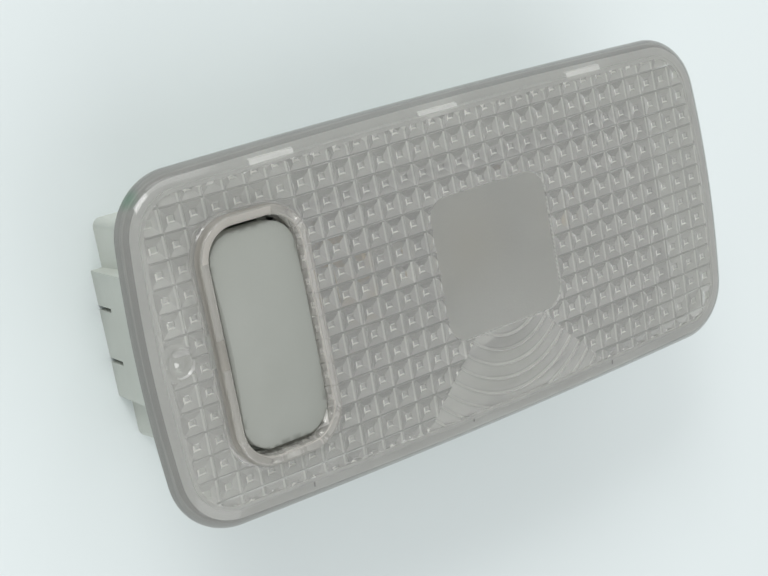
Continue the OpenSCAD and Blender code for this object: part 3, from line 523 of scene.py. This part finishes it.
def prismGrid():
    # the grid's points away from every other feature, and the edges that run along the cells' diagonals
    p = lens["pitch"]
    step = np.array(lens["depths"])[:, 0]
    local = np.unique(np.concatenate([step, p - step]))[:-1]
    gx = (np.arange(-17, 17)[:, None] * p + local).ravel()
    gy = (np.arange(-8, 8)[:, None] * p + local).ravel()
    X, Y = np.meshgrid(gx, gy, indexing="ij")
    r, side = fanPolar(X, Y)
    inFan = (side > -0.22) & (r > lens["fanFirst"] - lens["fanPitch"] - 0.1)
    free = (insetAt(X, Y) > lens["gridEdge"] + 0.2) & (collarDist(X, Y) > 0.2) & ~inFan
    free &= (gateDist(X, Y) > lens["gate"][2] + 0.85) & (windowDist(X, Y) > 0.22)
    ids = np.where(free, np.cumsum(free.ravel()).reshape(free.shape) - 1, -1)
    m = len(local)
    I, J = np.meshgrid(np.arange(len(gx)) % m, np.arange(len(gy)) % m, indexing="ij")
    rising, falling = I == J, (I + J) % m == 0
    edges = []
    for a, c, on in ((ids[:-1, :-1], ids[1:, 1:], rising[:-1, :-1]),
                     (ids[1:, :-1], ids[:-1, 1:], falling[1:, :-1])):
        good = on & (a >= 0) & (c >= 0)
        edges.append(np.stack([a[good], c[good]], 1))
    return np.stack([X[free], Y[free]], 1), np.concatenate(edges)


def innerBreaks(out, nrm):
    # two lines close together wherever the inner face steps: grid edge, window, gate mark and fan
    breaks = [(out - nrm * (lens["gridEdge"] + d), True) for d in (-0.05, 0.05)]
    wx, w, l, r = lens["window"]
    for d in (-0.1, 0.1):
        breaks.append((rectLoop(w + 2 * d, l + 2 * d, r + d, 12, 0.8)[0] + [wx, 0], True))
    lines = []
    for d in (0.5, 0.6, 0.7):
        q = polarRings(lens["gate"][0], 0, (lens["gate"][2] + d,), 40)
        lines.append(np.concatenate([q, q[:1]]))
    fx, fy = lens["fanAt"]
    for k in range(-1, lens["fanCount"] + 1):
        for d in (-0.72, -0.41, -0.05, 0.05, 0.33) if k >= 0 else (0.1, 0.33):
            rad = lens["fanFirst"] + lens["fanPitch"] * k + d
            a = np.linspace(-1, 1, int(rad * 3.2)) * (lens["fanAngle"] - 0.03 / rad) - math.pi / 2
            lines.append(np.stack([fx + rad * np.cos(a), fy + rad * np.sin(a)], 1))
    for s in (-1, 1):
        for d in (-0.06, 0.06):
            rad = np.arange(lens["fanFirst"] - lens["fanPitch"] + 0.1, 40, 0.6)
            a = -math.pi / 2 + s * (lens["fanAngle"] + d / rad)
            lines.append(np.stack([fx + rad * np.cos(a), fy + rad * np.sin(a)], 1))
    for q in lines:                                          # only what lies in the grid's own field
        ok = (insetAt(q[:, 0], q[:, 1]) > lens["gridEdge"] + 0.12) & (windowDist(q[:, 0], q[:, 1]) > 0.16)
        cut = np.nonzero(np.diff(np.concatenate([[0], ok.astype(int), [0]])))[0]
        breaks += [(q[s:e], False) for s, e in zip(cut[::2], cut[1::2]) if e - s > 2]
    return breaks


def lensInnerFace(lo, out, nrm, hole):
    # the prism face: grid points, breaks and a few points that keep the window's pad level
    grid, edges = prismGrid()
    cavityLoop = out - nrm * (body["skirt"] + body["ledge"])
    fill = np.stack([c.ravel() for c in np.meshgrid(np.arange(-6, 20, 2.0), np.arange(-12, 12.1, 2.0))], 1)
    fill = fill[windowDist(fill[:, 0], fill[:, 1]) < -0.6]
    pts, tris, found = fillPlane([(cavityLoop, True), (hole, True)] + innerBreaks(out, nrm),
                                 np.concatenate([grid, fill]), edges)
    cavity, holeLow = found[:2]
    tris = dropInside(tris, holeLow)
    z = crown(pts[:, 0], pts[:, 1]) - body["wall"] - prismDepth(pts[:, 0], pts[:, 1])
    plain = np.concatenate([cavity, holeLow])
    z[plain] = crown(pts[plain, 0], pts[plain, 1]) - body["wall"]
    base = lo.points(np.column_stack([pts, z]))[0]
    kind = prismClass(*pts[tris].mean(1).T)
    for k in np.unique(kind):
        lo.add(tris[kind == k][:, ::-1] + base, k, True)
    return cavity + base, holeLow + base


def lensRim(lo, out, nrm, outer, cavity):
    # rings along the outline's normals: the rim falls as a quarter ellipse, then skirt, seat, the ledge
    # a hair above the housing's flange, and the cavity's wall
    b = body
    fall = np.minimum(b["rim"], crown(out[:, 0], out[:, 1]) - b["seat"] - 0.3)
    last = outer
    for inset in (4.3, 4.1, 3.85, 3.55, 3.2, 2.8, 2.4, 2.0, 1.6, 1.2, 0.85, 0.55, 0.3, 0.12, 0.02, 0.0):
        q = out - nrm * inset
        c = 1 - inset / b["rim"]
        z = crown(q[:, 0], q[:, 1]) - fall * (1 - math.sqrt(1 - c * c)) - gateDish(q[:, 0], q[:, 1])
        ring = lo.points(np.column_stack([q, z]))
        lo.strip(last, ring, slotOf["clearPlastic"])
        last = ring
    inside, ledgeZ = b["skirt"] + b["ledge"], b["flangeTop"] + 0.06
    # the rim's and the ledge's undersides take painted shade
    rimSlot, ledgeSlot = slotOf["rimUndersidePaintedShade"], slotOf["ledgeUndersidePaintedShade"]
    for inset, z in ((0.0, b["seat"] + 0.2), (0.06, b["seat"] + 0.06), (0.2, b["seat"]),
                     (b["skirt"] - 0.15, b["seat"]), (b["skirt"], b["seat"] + 0.15),
                     (b["skirt"], ledgeZ), (inside, ledgeZ)):
        ring = lo.points(np.column_stack([out - nrm * inset, np.full(len(out), z)]))
        lo.strip(last, ring, ledgeSlot if inset == inside else rimSlot, inset > 1)
        last = ring
    lo.strip(last, cavity, ledgeSlot, True)


def lensCollar(lo, hole, holeN, holeTop, holeLow):
    # rings inwards from the collar's outline: up its outer side, over the rounded lip, down the opening
    # and back under the face, where the housing's locating tab stands in a notch
    top = crown(lens["collarX"], 0) + lens["collarRise"]
    wall, low = lens["collarWall"], body["flangeTop"] + 0.2
    notch = (np.abs(hole[:, 1]) < lens["notchHalf"]) & (hole[:, 0] < lens["collarX"])
    litSide = holeN @ [-0.6, 0.8] > lens["litSideFrom"]            # the bevel's upper left side, lighter by painted light
    # painted shade on the collar's outer edge and in the notch, painted light on its inner bevel and upper
    # left side
    clear, edge, bevel = (slotOf[tone[0]] for tone in lens["collarTones"])
    band = np.where(notch, edge, clear)
    litBand = np.where(litSide, bevel, band)
    last = holeTop
    for d, z, slot in (
            (0.0, top - 0.62, edge), (0.03, top - 0.4, edge), (0.12, top - 0.2, edge),
            (0.3, top - 0.05, band), (0.52, top, litBand), (wall - 0.52, top - 0.04, litBand),
            (wall - 0.25, top - 0.15, litBand), (wall - 0.08, top - 0.35, bevel), (wall, top - 0.65, band),
            (wall, low + 0.1, band), (wall - 0.1, low, band), (0.0, low, band)):
        q = hole - holeN * d
        if d == 0.0 and z == low:
            q[notch, 0] += lens["notchDeep"]
        ring = lo.points(np.column_stack([q, np.full(len(q), z)]))
        lo.strip(last, ring, slot, False, True)
        last = ring
    lo.strip(last, holeLow, clear, False, True)


def snapTongues(lo):
    # a hooked profile carried along each tongue's width, three inside each long wall
    profile = np.array([[-1.1, 34.6], [-1.1, 33.2], [-1.7, 32.9], [-1.7, 32.6], [-1.3, 32.35],
                        [-0.3, 32.3], [0, 32.6], [0, 34.6]])
    hookY = body["halfW"] - body["sideBow"] - body["skirt"] - 0.1
    for sx in lens["snapX"]:
        for sy in (-1, 1):
            a, b = [lo.points(np.column_stack([np.full(len(profile), x), sy * (hookY + profile[:, 0]),
                                               profile[:, 1]]))
                    for x in (sx - lens["snapW"] / 2, sx + lens["snapW"] / 2)]
            # the upper tongues take painted light, the lower ones painted shade on their sides and ends
            side, cap = (slotOf["snapTonguePaintedLight"],) * 2 if sy > 0 else (
                slotOf["ledgeUndersidePaintedShade"], borderPaintedShade)
            lo.strip(a, b, side, True, sy > 0)
            lo.add(a[None, ::-1] if sy > 0 else a[None, :], cap, True)
            lo.add(b[None, :] if sy > 0 else b[None, ::-1], cap, True)


def buildLens():
    # one closed shell of outer face, prism face, rim and collar, and the snap tongues as small blocks
    out, nrm = outlineLoop()
    hole, holeN = rectLoop(lens["collarW"], lens["collarL"], lens["collarR"], 14, 0.8)
    hole = hole + [lens["collarX"], 0]
    lo = shell()
    outer, holeTop = lensOuterFace(lo, out, nrm, hole)
    cavity, holeLow = lensInnerFace(lo, out, nrm, hole)
    lensRim(lo, out, nrm, outer, cavity)
    lensCollar(lo, hole, holeN, holeTop, holeLow)
    snapTongues(lo)
    obj = lo.piece("lensShell", lensFinish.values(), "lamp", "lens_plastic")
    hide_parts("lens")
    return obj


buildLens()


# the housing: the CAD's own shape, with softened edges
housing = dict(color=(0.50, 0.525, 0.48), worn=(0.45, 0.47, 0.43), rough=(0.45, 0.62), edge=0.2)
housingPlastic = newMaterial("greyHousingPlastic", housing["color"], 0.5)
driftColor(housingPlastic, housing["color"], housing["worn"], 50)
driftRough(housingPlastic, *housing["rough"], 150)
grain(housingPlastic, 1500, 0.00006, 0.6)
smoothCopy("housingTray", "housing", housingPlastic, "lamp", bevel=housing["edge"])


# the rocker button: the CAD's own shape, its top sinking by rise within reach of its edge, in mm
button = dict(color=(0.30, 0.312, 0.285), worn=(0.278, 0.29, 0.262), rough=(0.36, 0.5),
              width=16, length=35.8, corner=4.8, rise=0.75, reach=5.5, topFrom=(37.2, 38.4))


def pillow(co):
    # new heights: less rise times the square of what is left of the reach, only near the cap's top
    x, y, z = co.T
    inside = -roundRect(x - lens["collarX"], y, button["width"], button["length"], button["corner"])
    left = 1 - np.clip(inside, 0, button["reach"]) / button["reach"]
    return z - button["rise"] * left ** 2 * soften(*button["topFrom"], z)


buttonPlastic = newMaterial("buttonPlastic", button["color"], 0.4)
driftColor(buttonPlastic, button["color"], button["worn"], 45)
driftRough(buttonPlastic, *button["rough"], 180)
grain(buttonPlastic, 2400, 0.00005, 0.7)
smoothCopy("rockerButton", "rocker_button", buttonPlastic, "rocker", angle=40,
           join=False, shape=pillow)
print("housing and button made")


# the inner parts keep the CAD's meshes: each finish's tones, gloss or both wander at its own scale, some
# with a grain
plungerPlastic = newMaterial("palePlungerPlastic", (0.74, 0.74, 0.70), 0.4)
driftColor(plungerPlastic, (0.74, 0.74, 0.70), (0.68, 0.68, 0.64), 300)
brass = newMaterial("stampedBrass", (0.72, 0.53, 0.24), 0.3, 1.0)
driftColor(brass, (0.74, 0.55, 0.25), (0.58, 0.42, 0.19), 120)
driftRough(brass, 0.22, 0.42, 260)
rivetBrass = newMaterial("rivetBrass", (0.66, 0.47, 0.2), 0.28, 1.0)
driftColor(rivetBrass, (0.68, 0.49, 0.22), (0.52, 0.37, 0.16), 400)
steel = newMaterial("springSteel", (0.56, 0.57, 0.58), 0.32, 1.0)
driftRough(steel, 0.24, 0.44, 300)
grain(steel, 500, 0.00003, 0.5, stretch=(1, 14, 14))
clipSteel = newMaterial("clipSteel", (0.52, 0.53, 0.53), 0.34, 1.0)
driftRough(clipSteel, 0.26, 0.5, 200)
grain(clipSteel, 400, 0.00003, 0.5, stretch=(1, 1, 16))
capMetal = newMaterial("platedCap", (0.66, 0.66, 0.64), 0.28, 1.0)
driftRough(capMetal, 0.2, 0.38, 300)
whitePaint = newMaterial("whitePaintedSheet", (0.74, 0.75, 0.73), 0.4)
driftColor(whitePaint, (0.76, 0.77, 0.75), (0.68, 0.69, 0.66), 40)
grain(whitePaint, 700, 0.00004, 0.4)
glass = newMaterial("thinBulbGlass", (0.96, 0.97, 0.97), 0.02, IOR=1.45, Transmission_Weight=1.0)
driftRough(glass, 0.01, 0.05, 200)
tungsten = newMaterial("tungstenWire", (0.25, 0.24, 0.23), 0.5, 1.0)
driftRough(tungsten, 0.4, 0.6, 900)
for material, names in (
        (whitePaint, ["reflector"]), (glass, ["bulb_glass"]), (tungsten, ["bulb_filament"]),
        (capMetal, ["bulb_cap_left", "bulb_cap_right"]), (plungerPlastic, ["switch_plunger"]),
        (steel, ["switch_spring"]), (rivetBrass, ["contact_rivets"]),
        (brass, ["seesaw_contact", "common_contact", "feed_contact", "door_contact", "earth_contact",
                 "feed_blade", "door_blade", "earth_blade"]),
        (clipSteel, ["roof_clip_upper", "roof_clip_lower"])):
    for name in names:
        for slot in nodes[name].material_slots:
            slot.material = material
print("inner parts finished")


# the studio: floor and world colours, and each softbox's place, size and watts
studio = dict(
    floor=(0.72, 0.775, 0.775), world=0.68, worldColor=(0.97, 0.99, 1.0),
    boxes=(("overhead", (-0.1, -0.6, 1.1), (1.4, 1.2), 2.8),
           ("keyBox", (0.1, 0.95, 0.55), (0.7, 0.5), 2.0),
           ("fillBox", (-0.1, -1.1, 0.7), (1.0, 0.8), 3.2),
           ("glintBox", (-0.42, 0.78, 0.62), (0.42, 0.34), 4.2)),
    aim=(0, 0, 0.03),
)
floorMat = newMaterial("paleFloor", studio["floor"], 0.8)
driftColor(floorMat, studio["floor"], scaled(studio["floor"], 0.97), 6)
mesh = bpy.data.meshes.new("floor")
mesh.from_pydata([(-4, -4, 0), (4, -4, 0), (4, 4, 0), (-4, 4, 0)], [], [(0, 1, 2, 3)])
mesh.materials.append(floorMat)
floor = bpy.data.objects.new("floor", mesh)
bpy.context.scene.collection.objects.link(floor)


def softbox(name, place, size, power):
    # an area lamp that faces the studio's aim
    light = bpy.data.lights.new(name, "AREA")
    light.shape, light.size, light.size_y, light.energy = "RECTANGLE", size[0], size[1], power
    obj = bpy.data.objects.new(name, light)
    obj.location = place
    obj.rotation_mode = "QUATERNION"
    obj.rotation_quaternion = (Vector(studio["aim"]) - Vector(place)).to_track_quat("-Z", "Y")
    bpy.context.scene.collection.objects.link(obj)


for box in studio["boxes"]:
    softbox(*box)
world = bpy.data.worlds.new("studioWorld")
world.use_nodes = True
sky = world.node_tree.nodes["Background"]
sky.inputs["Color"].default_value = (*studio["worldColor"], 1)
sky.inputs["Strength"].default_value = studio["world"]
bpy.context.scene.world = world
bpy.context.scene.view_settings.view_transform = "Standard"
print("studio made")
